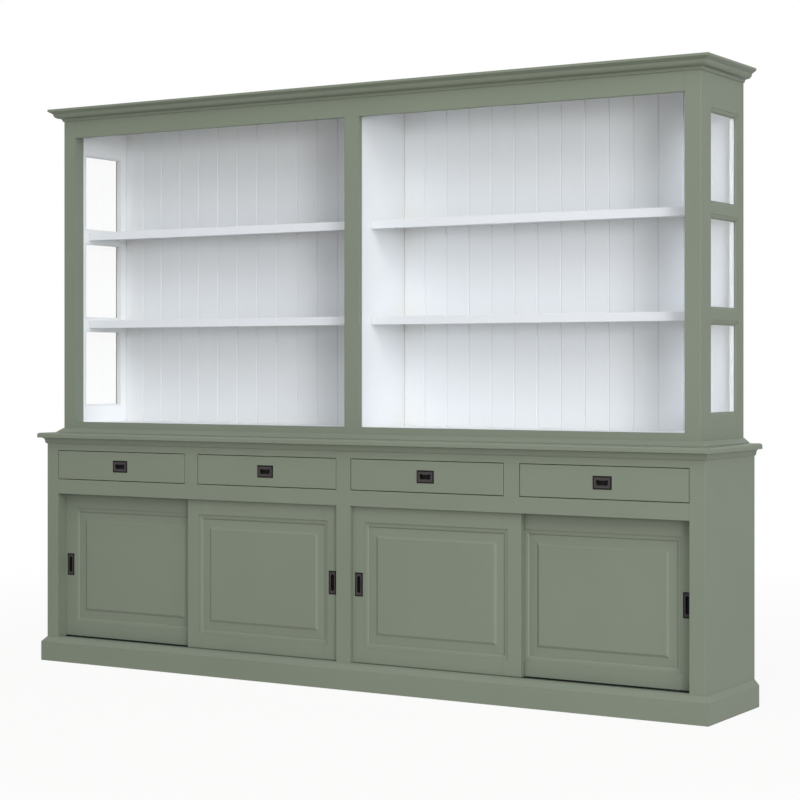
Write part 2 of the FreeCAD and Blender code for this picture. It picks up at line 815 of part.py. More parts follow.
def door_frame(door):
    x0, x1, face = door["x0"], door["x1"], door["face"]
    back = face + door_thickness
    sx0, sx1, sz0, sz1 = door_sight(door)
    blank = eased_front(box(x0, x1, face, back, door_bottom, door_top), face)
    blank = blank.cut(box(sx0, sx1, face, back, sz0, sz1))
    profile = ovolo_recess(sticking_width, sticking_depth, sticking_step, sticking_flat, sticking_round)
    blank = blank.cut(lofted((sx0, sx1, sz0, sz1), profile, lambda x, z, depth: Vector(x, face + depth, z)))
    blank = blank.cut(panel_blank(door, panel_groove_clearance))
    pocket = (door_pocket_width, door_pocket_height)
    blank = blank.cut(mortise(door["pull_x"], face, door_pull_level, pocket))
    spans = [(x0, sx0, door_bottom, door_top), (sx1, x1, door_bottom, door_top),
             (sx0, sx1, door_bottom, sz0), (sx0, sx1, sz1, door_top)]
    return [blank.common(box(a, b, face, back, low, high)) for a, b, low, high in spans]


def panel_blank(door, clearance):
    """The flat board whose edges sit in the door frame's grooves."""
    sx0, sx1, sz0, sz1 = door_sight(door)
    grow = panel_tongue + clearance
    front = door["face"] + sticking_depth + panel_groove_clearance
    return box(sx0 - grow, sx1 + grow, front - clearance, front + panel_tongue_thickness + clearance,
               sz0 - grow, sz1 + grow)


def door_panel(door):
    """Flat board with a sloping border and a raised field."""
    face = door["face"] + sticking_depth + panel_groove_clearance
    shoulder = panel_margin_rise + panel_shoulder_rise
    profile = [(0, 0), (-panel_margin, panel_margin_rise),
               (-panel_margin - panel_shoulder_run, shoulder)]
    raised = lofted(door_sight(door), profile, lambda x, z, rise: Vector(x, face - rise, z))
    return panel_blank(door, 0).fuse(raised).removeSplitter()


def door_glides(door):
    """Nylon shoes under a door, astride its track."""
    middle = door["face"] + door_thickness / 2
    low = floor_top + glide_floor_gap
    slot_half = track_width / 2 + glide_clearance
    slot_top = floor_top + track_height + glide_clearance
    shoes = []
    for x in (door["x0"] + glide_inset, door["x1"] - glide_inset):
        x0, x1 = x - glide_length / 2, x + glide_length / 2
        shoe = box(x0, x1, middle - glide_width / 2, middle + glide_width / 2, low, door_bottom)
        shoes.append(shoe.cut(box(x0, x1, middle - slot_half, middle + slot_half, low, slot_top)))
    return shoes


def nodes():
    table = {
        "plinth_boards": plinth_boards(),
        "base_face_frame": base_face_frame(),
        "base_sides": [bored(panel) for panel in base_sides()],
        "base_floor": [base_floor()],
        "base_back_panel": [base_back_panel()],
        "base_centre_divider": [bored(base_centre_divider())],
        "door_jambs": door_jambs(),
        "drawer_deck": [drawer_deck()],
        "drawer_runners": drawer_runners(),
        "base_shelves": base_shelves(),
        "door_tracks": door_tracks(),
        "worktop": [worktop()],
        "worktop_moulding": worktop_moulding(),
        "waist_moulding": waist_moulding(),
        "case_screws": case_screws(),
        "corner_posts": corner_posts(),
        "upper_face_frame": upper_face_frame(),
        "upper_floor": [upper_floor()],
        "upper_top": [upper_top()],
        "upper_partition": [bored(upper_partition())],
        "upper_shelves": upper_shelves(),
        "shelf_pins": shelf_pins(),
        "glazing_beads": glazing_beads(),
        "cornice": cornice(),
    }
    for side, word in zip(halves, ("left", "right")):
        table["back_boards_" + word] = back_boards(side)
        table["side_frame_" + word] = side_frame(side)
        table["side_glass_" + word] = side_glass(side)
    for number, centre in enumerate(drawer_centres, 1):
        table["drawer_front_%d" % number] = [drawer_front(centre)]
        table["drawer_box_%d" % number] = drawer_box(centre)
        table["drawer_pull_%d" % number] = [drawer_pull(centre)]
    for number, door in enumerate(doors(), 1):
        table["door_frame_%d" % number] = door_frame(door)
        table["door_panel_%d" % number] = [door_panel(door)]
        table["door_pull_%d" % number] = [door_pull(door)]
        table["door_glides_%d" % number] = door_glides(door)
    return table


def main():
    os.makedirs("parts", exist_ok=True)
    for name, solids in nodes().items():
        shape = solids[0] if len(solids) == 1 else Part.makeCompound(solids)
        shape.exportStep(os.path.join("parts", name + ".step"))
        bounds = shape.BoundBox
        print("%-20s %2d solids  %8.1f x %7.1f x %7.1f" % (
            name, len(shape.Solids), bounds.XLength, bounds.YLength, bounds.ZLength))


main()
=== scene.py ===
import bpy
import bmesh
from math import radians
from mathutils import Matrix, Vector


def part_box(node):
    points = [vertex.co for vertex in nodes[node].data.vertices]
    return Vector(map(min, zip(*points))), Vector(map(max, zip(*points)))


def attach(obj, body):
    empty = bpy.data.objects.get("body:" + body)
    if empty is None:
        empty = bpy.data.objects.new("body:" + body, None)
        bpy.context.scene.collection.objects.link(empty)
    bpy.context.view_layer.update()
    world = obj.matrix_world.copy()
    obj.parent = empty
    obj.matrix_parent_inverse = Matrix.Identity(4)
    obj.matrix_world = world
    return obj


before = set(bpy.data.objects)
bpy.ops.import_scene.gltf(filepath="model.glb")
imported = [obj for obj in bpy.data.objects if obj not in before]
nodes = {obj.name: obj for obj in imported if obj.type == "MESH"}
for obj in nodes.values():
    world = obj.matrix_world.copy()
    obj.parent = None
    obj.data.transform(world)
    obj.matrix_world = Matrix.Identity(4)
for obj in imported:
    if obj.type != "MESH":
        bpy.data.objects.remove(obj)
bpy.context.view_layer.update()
numbers = range(1, 5)      # four drawers and four doors, from the left
print("frame loaded:", len(nodes), "nodes")


# node helpers

def newNode(tree, kind, inputs=None, **settings):
    node = tree.nodes.new("ShaderNode" + kind)
    for name, value in settings.items():
        setattr(node, name, value)
    for socket, value in (inputs or {}).items():
        if isinstance(value, bpy.types.NodeSocket):
            tree.links.new(value, node.inputs[socket])
        else:
            node.inputs[socket].default_value = value
    return node


def doMath(tree, operation, first, second=0.0, third=0.0, clamp=False):
    node = newNode(tree, "Math", {0: first, 1: second, 2: third}, operation=operation, use_clamp=clamp)
    return node.outputs[0]


def mapValue(tree, value, span, newSpan=(0.0, 1.0)):
    node = newNode(tree, "MapRange", {"Value": value, "From Min": span[0], "From Max": span[1],
                                      "To Min": newSpan[0], "To Max": newSpan[1]})
    return node.outputs["Result"]


def mixColours(tree, amount, first, second):
    node = newNode(tree, "Mix", {0: amount, 6: first, 7: second}, data_type="RGBA")
    return node.outputs[2]


def mixVectors(tree, amount, first, second):
    node = newNode(tree, "Mix", {0: amount, 4: first, 5: second}, data_type="VECTOR")
    return node.outputs[1]


def stretch(tree, vector, by):
    return newNode(tree, "VectorMath", {0: vector, 1: by}, operation="MULTIPLY").outputs[0]


def noise(tree, vector, scale, detail):
    return newNode(tree, "TexNoise", {"Vector": vector, "Scale": scale, "Detail": detail}).outputs["Fac"]


def newGroup(name, takes, gives):
    group = bpy.data.node_groups.new(name, "ShaderNodeTree")
    for label, kind, value in takes:
        socket = group.interface.new_socket(label, in_out="INPUT", socket_type="NodeSocket" + kind)
        socket.default_value = value
    for label, kind in gives:
        group.interface.new_socket(label, in_out="OUTPUT", socket_type="NodeSocket" + kind)
    taken = group.nodes.new("NodeGroupInput").outputs
    given = group.nodes.new("NodeGroupOutput").inputs
    return group, taken, given


def placeGroup(tree, group, **inputs):
    return newNode(tree, "Group", inputs, node_tree=group).outputs


def newMaterial(name, **shine):
    material = bpy.data.materials.new(name)
    material.use_nodes = True
    tree = material.node_tree
    shader = tree.nodes["Principled BSDF"]
    for socket, value in shine.items():
        shader.inputs[socket].default_value = value
    return material, tree, shader


def finishWith(material, *names):
    for name in names:
        slots = nodes[name].data.materials
        slots.clear()
        slots.append(material)


def places(tree, kind="Object"):
    return newNode(tree, "SeparateXYZ", {0: newNode(tree, "TexCoord").outputs[kind]}).outputs


def anyOf(tree, masks):
    total = masks[0]
    for mask in masks[1:]:
        total = doMath(tree, "MAXIMUM", total, mask)
    return total


def allOf(tree, masks):
    total = masks[0]
    for mask in masks[1:]:
        total = doMath(tree, "MULTIPLY", total, mask)
    return total


# effects that several finishes share

brushMarks = {
    "dragDetail": 3.0, "driftScale": 2.6, "driftDetail": 4.0, "stippleScale": 750.0, "stippleDetail": 2.0,
    "dragTone": 0.45, "driftTone": 0.55, "toneGain": 4.0, "glossSwing": 0.35,
    "dragHeight": 0.6, "stippleHeight": 0.4,
}
edgeWear = {
    "samples": 6, "turned": (0.985, 0.86),     # how far the rounded normal leans from the flat one
    "patchScale": 60.0, "patchDetail": 5.0, "patchFrom": 0.75, "spreadGain": -0.5, "patchFull": 0.8,
}
# how far and how strongly corners count as closed in, for the painted shade in corners
shadeFall = {"samples": 8, "openness": (0.7, 0.15)}


def makeInBand():
    group, taken, given = newGroup(
        "inBand", [("Value", "Float", 0.0), ("Low", "Float", 0.0), ("High", "Float", 1.0)],
        [("Mask", "Float")])
    above = doMath(group, "GREATER_THAN", taken["Value"], taken["Low"])
    below = doMath(group, "LESS_THAN", taken["Value"], taken["High"])
    group.links.new(doMath(group, "MULTIPLY", above, below), given["Mask"])
    return group


def makeHairline():
    # a joint's line, strongest at its place
    group, taken, given = newGroup(
        "hairline", [("Value", "Float", 0.0), ("Place", "Float", 0.0), ("Reach", "Float", 0.001)],
        [("Mask", "Float")])
    away = doMath(group, "ABSOLUTE", doMath(group, "SUBTRACT", taken["Value"], taken["Place"]))
    line = doMath(group, "SUBTRACT", 1.0, doMath(group, "DIVIDE", away, taken["Reach"]), clamp=True)
    group.links.new(line, given["Mask"])
    return group


def makeBrushedPaint():
    # roller stipple, brush drag along the grain and slow drifts of tone
    group, taken, given = newGroup(
        "brushedPaint",
        [("Colour", "Color", (0.5, 0.5, 0.5, 1)), ("Grain", "Vector", (400, 400, 8)),
         ("Drift", "Float", 0.05), ("Gloss", "Float", 0.4)],
        [("Colour", "Color"), ("Roughness", "Float"), ("Height", "Float")])
    spot = newNode(group, "TexCoord").outputs["Object"]
    drag = noise(group, stretch(group, spot, taken["Grain"]), 1.0, brushMarks["dragDetail"])
    drift = noise(group, spot, brushMarks["driftScale"], brushMarks["driftDetail"])
    stipple = noise(group, spot, brushMarks["stippleScale"], brushMarks["stippleDetail"])
    tone = doMath(group, "MULTIPLY_ADD", drag, brushMarks["dragTone"],
                  doMath(group, "MULTIPLY", drift, brushMarks["driftTone"]))
    swing = doMath(group, "SUBTRACT", tone, 0.5)
    gain = doMath(group, "MULTIPLY", taken["Drift"], brushMarks["toneGain"])
    lift = doMath(group, "MULTIPLY_ADD", swing, gain, 1.0)
    shaded = newNode(group, "VectorMath", {0: taken["Colour"], "Scale": lift}, operation="SCALE").outputs[0]
    gloss = doMath(group, "MULTIPLY_ADD", swing, brushMarks["glossSwing"], taken["Gloss"], clamp=True)
    height = doMath(group, "MULTIPLY_ADD", drag, brushMarks["dragHeight"],
                    doMath(group, "MULTIPLY", stipple, brushMarks["stippleHeight"]))
    group.links.new(shaded, given["Colour"])
    group.links.new(gloss, given["Roughness"])
    group.links.new(height, given["Height"])
    return group


def makeRubbedEdge():
    # where an edge is turned over, broken up by noise
    group, taken, given = newGroup("rubbedEdge", [("Radius", "Float", 0.002), ("Spread", "Float", 0.5)],
                                   [("Mask", "Float"), ("Normal", "Vector")])
    soft = newNode(group, "Bevel", {"Radius": taken["Radius"]}, samples=edgeWear["samples"]).outputs[0]
    flat = newNode(group, "NewGeometry").outputs["Normal"]
    turned = newNode(group, "VectorMath", {0: soft, 1: flat}, operation="DOT_PRODUCT").outputs["Value"]
    edge = mapValue(group, turned, edgeWear["turned"])
    spot = newNode(group, "TexCoord").outputs["Object"]
    patch = noise(group, spot, edgeWear["patchScale"], edgeWear["patchDetail"])
    start = doMath(group, "MULTIPLY_ADD", taken["Spread"], edgeWear["spreadGain"], edgeWear["patchFrom"])
    bare = mapValue(group, patch, (start, edgeWear["patchFull"]))
    group.links.new(doMath(group, "MULTIPLY", edge, bare, clamp=True), given["Mask"])
    group.links.new(soft, given["Normal"])
    return group


def makeCornerShade():
    # painted shade: a mask that is strongest where ambient occlusion finds corners and recesses
    group, taken, given = newGroup("cornerShade", [("Reach", "Float", 0.02)], [("Mask", "Float")])
    corner = newNode(group, "AmbientOcclusion", {"Distance": taken["Reach"]}, samples=shadeFall["samples"])
    group.links.new(mapValue(group, corner.outputs["AO"], shadeFall["openness"]), given["Mask"])
    return group


inBand = makeInBand()
hairline = makeHairline()
brushedPaint = makeBrushedPaint()
rubbedEdge = makeRubbedEdge()
cornerShade = makeCornerShade()
print("shared effects:", len(bpy.data.node_groups), "node groups")


def bandMask(tree, value, low, high):
    return placeGroup(tree, inBand, Value=value, Low=low, High=high)["Mask"]


def lineMask(tree, value, place, reach):
    return placeGroup(tree, hairline, Value=value, Place=place, Reach=reach)["Mask"]


# painted finishes

grains = {
    "upright": (420.0, 420.0, 7.0),      # streaks per metre across, slow along the board
    "level": (7.0, 7.0, 420.0),
    "lengthwise": (7.0, 420.0, 420.0),
    "inward": (420.0, 7.0, 420.0),
}

# In each paint the third, darker tone is painted shade in corners and recesses, with recess as its reach; it
# also colours the joint lines
sage = {
    "colour": (0.196, 0.229, 0.179, 1),
    "rubbed": (0.236, 0.272, 0.219, 1),
    "shadeAndJoint": (0.105, 0.126, 0.095, 1),
    "gloss": 0.46, "drift": 0.05, "relief": 0.00014, "edge": 0.0012, "recess": 0.008, "paintedShade": 0.12,
}

white = {
    "colour": (0.81, 0.84, 0.87, 1),
    "rubbed": (0.83, 0.86, 0.885, 1),
    "shadeAndJoint": (0.74, 0.72, 0.67, 1),
    "gloss": 0.48, "drift": 0.015, "relief": 0.00010, "edge": 0.0012, "recess": 0.16, "paintedShade": 0.6,
}

shadedShelfWhite = dict(white, colour=(0.745, 0.785, 0.835, 1))    # painted shade: greyer than the case's white
litFrameWhite = dict(white, colour=(0.88, 0.90, 0.92, 1))       # painted light: paler than the case's white, round the panes

paintShine = {"Specular IOR Level": 0.25}
paintCoat = {"wear": 0.5, "rubbed": 0.28, "bump": 0.35}
seam = {"reach": 0.0006, "strength": 0.5}


def paintOver(tree, shader, look, grain, seams=None):
    coat = placeGroup(tree, brushedPaint, Colour=look["colour"], Grain=grain, Drift=look["drift"],
                      Gloss=look["gloss"])
    edge = placeGroup(tree, rubbedEdge, Radius=look["edge"], Spread=paintCoat["wear"])
    # painted shade: corners and recesses are mixed towards the darker tone
    paintedShade = placeGroup(tree, cornerShade, Reach=look["recess"])
    worn = doMath(tree, "MULTIPLY", edge["Mask"], paintCoat["rubbed"])
    tone = mixColours(tree, worn, coat["Colour"], look["rubbed"])
    tone = mixColours(tree, doMath(tree, "MULTIPLY", paintedShade["Mask"], look["paintedShade"]), tone, look["shadeAndJoint"])
    height = coat["Height"]
    if seams is not None:
        tone = mixColours(tree, doMath(tree, "MULTIPLY", seams, seam["strength"]), tone, look["shadeAndJoint"])
        height = doMath(tree, "SUBTRACT", height, seams)
    tree.links.new(tone, shader.inputs["Base Color"])
    tree.links.new(coat["Roughness"], shader.inputs["Roughness"])
    bump = newNode(tree, "Bump", {"Height": height, "Normal": edge["Normal"], "Strength": paintCoat["bump"],
                                  "Distance": look["relief"]})
    tree.links.new(bump.outputs[0], shader.inputs["Normal"])


def makePaint(name, look, grain):
    material, tree, shader = newMaterial(name, **paintShine)
    paintOver(tree, shader, look, grain)
    return material


def makeFramePaint(name, members, railGrain):
    # stiles brushed upright, rails along their length, and faint lines where they meet
    material, tree, shader = newMaterial(name, **paintShine)
    rails, seams = members(tree)
    paintOver(tree, shader, sage, mixVectors(tree, rails, grains["upright"], grains[railGrain]), seams)
    return material


def bothTones(tree, inside, inner):
    look = dict(sage)
    for key in ("colour", "rubbed", "shadeAndJoint"):
        look[key] = mixColours(tree, inside, sage[key], inner[key])
    return look


baseFrame = {"drawerGap": 0.0025, "midRail": 0.0595, "bottomRail": 0.1025, "beyond": 0.01}
drawerLow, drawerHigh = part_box("drawer_front_1")
openingLow = drawerLow.z - baseFrame["drawerGap"]
openingHigh = drawerHigh.z + baseFrame["drawerGap"]
midRailLow = openingLow - baseFrame["midRail"]
stileEdge = baseFrame["drawerGap"] - drawerLow.x
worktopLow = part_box("worktop")[0].z


def baseMembers(tree):
    spot = places(tree)
    across, up = doMath(tree, "ABSOLUTE", spot["X"]), spot["Z"]
    levels = anyOf(tree, [bandMask(tree, up, -baseFrame["beyond"], baseFrame["bottomRail"]),
                          bandMask(tree, up, midRailLow, openingLow),
                          bandMask(tree, up, openingHigh, worktopLow + baseFrame["beyond"])])
    between = doMath(tree, "LESS_THAN", across, stileEdge)
    ends = doMath(tree, "MULTIPLY", levels, lineMask(tree, across, stileEdge, seam["reach"]))
    edges = (baseFrame["bottomRail"], midRailLow, openingLow, openingHigh)
    lines = anyOf(tree, [lineMask(tree, up, level, seam["reach"]) for level in edges])
    seams = doMath(tree, "MAXIMUM", ends, doMath(tree, "MULTIPLY", lines, between))
    return doMath(tree, "MULTIPLY", levels, between), seams


upperFrame = {"bottomRail": 0.045, "topRail": 0.102, "centreHalf": 0.032, "postSeam": 0.0014}
upperLow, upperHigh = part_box("upper_face_frame")


def upperMembers(tree):
    spot = places(tree)
    across, up = doMath(tree, "ABSOLUTE", spot["X"]), spot["Z"]
    bottom, top = upperLow.z + upperFrame["bottomRail"], upperHigh.z - upperFrame["topRail"]
    stile = bandMask(tree, up, bottom, top)
    ends = lineMask(tree, across, upperHigh.x, upperFrame["postSeam"])
    lines = anyOf(tree, [lineMask(tree, up, level, seam["reach"]) for level in (bottom, top)])
    middle = doMath(tree, "LESS_THAN", across, upperFrame["centreHalf"])
    seams = doMath(tree, "MAXIMUM", ends, doMath(tree, "MULTIPLY", lines, middle))
    return doMath(tree, "SUBTRACT", 1.0, stile), seams


doorFrame = {"stile": 0.0745}      # with the moulded edge
doorLow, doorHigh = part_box("door_frame_1")


def doorMembers(tree):
    across = places(tree, "Generated")["X"]
    width = doorHigh.x - doorLow.x
    low = doorFrame["stile"] / width
    high = 1.0 - low
    seams = anyOf(tree, [lineMask(tree, across, place, seam["reach"] / width) for place in (low, high)])
    return bandMask(tree, across, low, high), seams


window = {"covered": 0.0075, "behind": 0.0005}      # panes' edges in the frame, white behind their face
paneLow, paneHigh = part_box("side_glass_right")


def makeSideFrames():
    # white from the glass inwards
    material, tree, shader = newMaterial("sideFrames", **paintShine)
    spot = places(tree)
    inside = doMath(tree, "LESS_THAN", doMath(tree, "ABSOLUTE", spot["X"]),
                    paneHigh.x - window["behind"])
    ends = (paneLow.y + window["covered"], paneHigh.y - window["covered"])
    rails = bandMask(tree, spot["Y"], *ends)
    seams = anyOf(tree, [lineMask(tree, spot["Y"], end, seam["reach"]) for end in ends])
    grain = mixVectors(tree, rails, grains["upright"], grains["inward"])
    # the inside takes the paler white, which is painted light
    paintOver(tree, shader, bothTones(tree, inside, litFrameWhite), grain, seams)
    return material


caseInside = {"side": -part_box("side_frame_left")[1].x, "front": upperHigh.y,
              "back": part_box("back_boards_left")[0].y, "top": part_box("upper_top")[0].z, "skin": 0.001}


def makeCaseTop():
    # sage above, white where it closes the case
    material, tree, shader = newMaterial("caseTop", **paintShine)
    spot = places(tree)
    inside = allOf(tree, [bandMask(tree, spot["X"], -caseInside["side"], caseInside["side"]),
                          bandMask(tree, spot["Y"], caseInside["front"], caseInside["back"]),
                          doMath(tree, "LESS_THAN", spot["Z"], caseInside["top"] + caseInside["skin"])])
    paintOver(tree, shader, bothTones(tree, inside, white), grains["lengthwise"])
    return material


# the groove line is painted shade, shifted by offset onto one slope of each groove
boarding = {"pitch": 0.1, "firstBoard": 0.093, "reach": 0.0016, "offset": 0.0012,
            "shadeAndJoint": (0.36, 0.36, 0.35, 1), "strength": 0.7}


def makeBackBoards(side):
    # white boards with a darker line in each groove between them, set onto one slope: painted shade of the
    # groove
    material, tree, shader = newMaterial("boards" + side.capitalize(), **paintShine)
    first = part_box("back_boards_" + side)[0].x + boarding["firstBoard"] + boarding["offset"]
    along = doMath(tree, "SUBTRACT", places(tree)["X"], first)
    groove = lineMask(tree, doMath(tree, "PINGPONG", along, boarding["pitch"] / 2), 0.0, boarding["reach"])
    paintedShade = doMath(tree, "MULTIPLY", groove, boarding["strength"])
    look = dict(white, colour=mixColours(tree, paintedShade, white["colour"], boarding["shadeAndJoint"]))
    paintOver(tree, shader, look, grains["upright"])
    return material


sageUpright = makePaint("sageUpright", sage, grains["upright"])
sageLevel = makePaint("sageLevel", sage, grains["level"])
sageLengthwise = makePaint("sageLengthwise", sage, grains["lengthwise"])
whiteUpright = makePaint("whiteUpright", white, grains["upright"])
whiteLengthwise = makePaint("whiteLengthwise", white, grains["lengthwise"])

finishWith(makeFramePaint("sageBaseFrame", baseMembers, "lengthwise"), "base_face_frame")
finishWith(makeFramePaint("sageUpperFrame", upperMembers, "lengthwise"), "upper_face_frame")
finishWith(sageUpright, "base_sides", "corner_posts", "base_centre_divider", "door_jambs", "base_back_panel")
finishWith(sageLevel, "cornice", "waist_moulding", "worktop_moulding", "plinth_boards")
finishWith(sageLengthwise, "worktop", "base_floor", "drawer_deck")
sageDoors = makeFramePaint("sageDoors", doorMembers, "lengthwise")
for number in numbers:
    finishWith(sageLengthwise, "drawer_front_%d" % number)
    finishWith(sageDoors, "door_frame_%d" % number)
    finishWith(sageUpright, "door_panel_%d" % number)
finishWith(whiteUpright, "upper_partition", "glazing_beads")
for side in ("left", "right"):
    finishWith(makeBackBoards(side), "back_boards_" + side)
finishWith(whiteLengthwise, "upper_floor", "base_shelves")
# the shelves take the greyer white, which is painted shade
finishWith(makePaint("shadedWhiteShelves", shadedShelfWhite, grains["lengthwise"]), "upper_shelves")
finishWith(makeSideFrames(), "side_frame_left", "side_frame_right")
finishWith(makeCaseTop(), "upper_top")
print("paint done")


# wood of the drawer boxes

paleWood = {
    "light": (0.66, 0.50, 0.32, 1),
    "dark": (0.47, 0.33, 0.19, 1),
    "endGrain": (0.36, 0.24, 0.13, 1),
    "inward": (18.0, 2.2, 18.0), "lengthwise": (2.2, 18.0, 18.0),      # grain, drawn out along the board
    "ringScale": 4.0, "ringDetail": 5.0, "ringShare": 0.65,
    "fibreScale": 60.0, "fibreDetail": 3.0, "fibreShare": 0.35,
    "toneSpan": (0.35, 0.65), "glossSpan": (0.3, 0.7), "gloss": (0.52, 0.36),
    "bump": 0.3, "relief": 0.0003,
}
dovetails = {"board": 0.012, "pitch": 0.034, "pinShare": 0.18, "splay": 0.2, "strength": 0.8}


def makeWoodGrain():
    group, taken, given = newGroup("woodGrain", [("Stretch", "Vector", paleWood["inward"])],
                                   [("Colour", "Color"), ("Roughness", "Float"), ("Height", "Float")])
    spot = newNode(group, "TexCoord").outputs["Object"]
    drawn = stretch(group, spot, taken["Stretch"])
    rings = noise(group, drawn, paleWood["ringScale"], paleWood["ringDetail"])
    fibre = noise(group, drawn, paleWood["fibreScale"], paleWood["fibreDetail"])
    grain = doMath(group, "MULTIPLY_ADD", fibre, paleWood["fibreShare"],
                   doMath(group, "MULTIPLY", rings, paleWood["ringShare"]))
    pale = mapValue(group, grain, paleWood["toneSpan"])
    group.links.new(mixColours(group, pale, paleWood["dark"], paleWood["light"]), given["Colour"])
    group.links.new(mapValue(group, grain, paleWood["glossSpan"], paleWood["gloss"]), given["Roughness"])
    group.links.new(grain, given["Height"])
    return group


woodGrain = makeWoodGrain()


def finishWood(tree, shader, tone, grain):
    tree.links.new(tone, shader.inputs["Base Color"])
    tree.links.new(grain["Roughness"], shader.inputs["Roughness"])
    bump = newNode(tree, "Bump", {"Height": grain["Height"], "Strength": paleWood["bump"],
                                  "Distance": paleWood["relief"]})
    tree.links.new(bump.outputs[0], shader.inputs["Normal"])


def makeRunnerWood():
    material, tree, shader = newMaterial("paleWood")
    grain = placeGroup(tree, woodGrain, Stretch=paleWood["inward"])
    finishWood(tree, shader, grain["Colour"], grain)
    return material


def makeDrawerWood():
    # sides run inwards, the other boards along the drawer, with dovetails at the corners
    material, tree, shader = newMaterial("drawerWood")
    low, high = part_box("drawer_box_1")
    part, spot = places(tree, "Generated"), places(tree)
    edge = dovetails["board"] / (high.x - low.x)
    sides = doMath(tree, "SUBTRACT", 1.0, bandMask(tree, part["X"], edge, 1.0 - edge))
    run = mixVectors(tree, sides, paleWood["lengthwise"], paleWood["inward"])
    grain = placeGroup(tree, woodGrain, Stretch=run)
    nearEnd = doMath(tree, "MINIMUM", part["Y"], doMath(tree, "SUBTRACT", 1.0, part["Y"]))
    fromEnd = doMath(tree, "MULTIPLY", nearEnd, high.y - low.y)
    wave = doMath(tree, "PINGPONG", spot["Z"], dovetails["pitch"] / 2)
    halfPin = dovetails["pitch"] * dovetails["pinShare"]
    slope = doMath(tree, "MULTIPLY_ADD", fromEnd, dovetails["splay"], halfPin)
    pins = allOf(tree, [sides, doMath(tree, "LESS_THAN", fromEnd, dovetails["board"]),
                        doMath(tree, "LESS_THAN", wave, slope)])
    shown = doMath(tree, "MULTIPLY", pins, dovetails["strength"])
    finishWood(tree, shader, mixColours(tree, shown, grain["Colour"], paleWood["endGrain"]), grain)
    return material


drawerWood = makeDrawerWood()
finishWith(makeRunnerWood(), "drawer_runners")
for number in numbers:
    finishWith(drawerWood, "drawer_box_%d" % number)
print("wood done")


# metal, glass and nylon

blackIron = {
    "rim": (0.010, 0.0095, 0.009, 1),
    "tray": (0.058, 0.050, 0.053, 1),
    "rubbed": (0.085, 0.062, 0.050, 1),
    "trayFrom": 0.03, "trayTo": 0.09, "facing": -0.9,      # the sunk border, as shares of the pull's depth
    "castScale": 420.0, "castDetail": 4.0, "castSpan": (0.2, 0.8), "trayTone": (0.8, 1.2),
    "edge": 0.0008, "wear": 1.0, "strength": 0.6,
    "glossSpan": (0.3, 0.7), "gloss": (0.42, 0.62), "bump": 0.4, "relief": 0.0002,
}
ironShine = {"Specular IOR Level": 0.10}


def makeBlackIron():
    # blackened, with a paler sunk border and brown rubbed edges
    material, tree, shader = newMaterial("blackIron", **ironShine)
    normal = newNode(tree, "NewGeometry").outputs["Normal"]
    facing = newNode(tree, "SeparateXYZ", {0: normal}).outputs["Y"]
    deep = places(tree, "Generated")["Y"]
    tray = doMath(tree, "MULTIPLY", bandMask(tree, deep, blackIron["trayFrom"], blackIron["trayTo"]),
                  doMath(tree, "LESS_THAN", facing, blackIron["facing"]))
    spot = newNode(tree, "TexCoord").outputs["Object"]
    cast = noise(tree, spot, blackIron["castScale"], blackIron["castDetail"])
    edge = placeGroup(tree, rubbedEdge, Radius=blackIron["edge"], Spread=blackIron["wear"])
    mottled = mapValue(tree, cast, blackIron["castSpan"], blackIron["trayTone"])
    tone = mixColours(tree, doMath(tree, "MULTIPLY", tray, mottled), blackIron["rim"], blackIron["tray"])
    worn = doMath(tree, "MULTIPLY", edge["Mask"], blackIron["strength"])
    tree.links.new(mixColours(tree, worn, tone, blackIron["rubbed"]), shader.inputs["Base Color"])
    gloss = mapValue(tree, cast, blackIron["glossSpan"], blackIron["gloss"])
    tree.links.new(gloss, shader.inputs["Roughness"])
    bump = newNode(tree, "Bump", {"Height": cast, "Normal": edge["Normal"], "Strength": blackIron["bump"],
                                  "Distance": blackIron["relief"]})
    tree.links.new(bump.outputs[0], shader.inputs["Normal"])
    return material


paneShine = {"Base Color": (1, 1, 1, 1), "IOR": 1.45, "Roughness": 0.0, "Specular IOR Level": 0.15,
             "Transmission Weight": 1.0}
paneShade = (0.70, 0.74, 0.78, 1)      # the lamps' light that a pane lets through


def makeGlass():
    material, tree, glass = newMaterial("clearGlass", **paneShine)
    clear = newNode(tree, "BsdfTransparent", {"Color": paneShade})
    rays = newNode(tree, "LightPath").outputs
    both = newNode(tree, "MixShader", {0: rays["Is Shadow Ray"], 1: glass.outputs[0], 2: clear.outputs[0]})
    tree.links.new(both.outputs[0], tree.nodes["Material Output"].inputs["Surface"])
    return material


nylon = {"colour": (0.012, 0.012, 0.012), "metallic": 0.0, "gloss": 0.5}
zincSteel = {"colour": (0.72, 0.73, 0.74), "metallic": 1.0, "gloss": 0.45}
specks = {"scale": 600.0, "detail": 3.0, "span": (0.3, 0.7), "shade": 0.85, "glossSwing": 0.08}


def makeSmallParts(name, look):
    material, tree, shader = newMaterial(name, Metallic=look["metallic"])
    spot = newNode(tree, "TexCoord").outputs["Object"]
    speck = noise(tree, spot, specks["scale"], specks["detail"])
    shade = tuple(specks["shade"] * part for part in look["colour"])
    tone = mixColours(tree, mapValue(tree, speck, specks["span"]), shade + (1,), look["colour"] + (1,))
    glossSpan = (look["gloss"] - specks["glossSwing"], look["gloss"] + specks["glossSwing"])
    tree.links.new(tone, shader.inputs["Base Color"])
    tree.links.new(mapValue(tree, speck, specks["span"], glossSpan), shader.inputs["Roughness"])
    return material


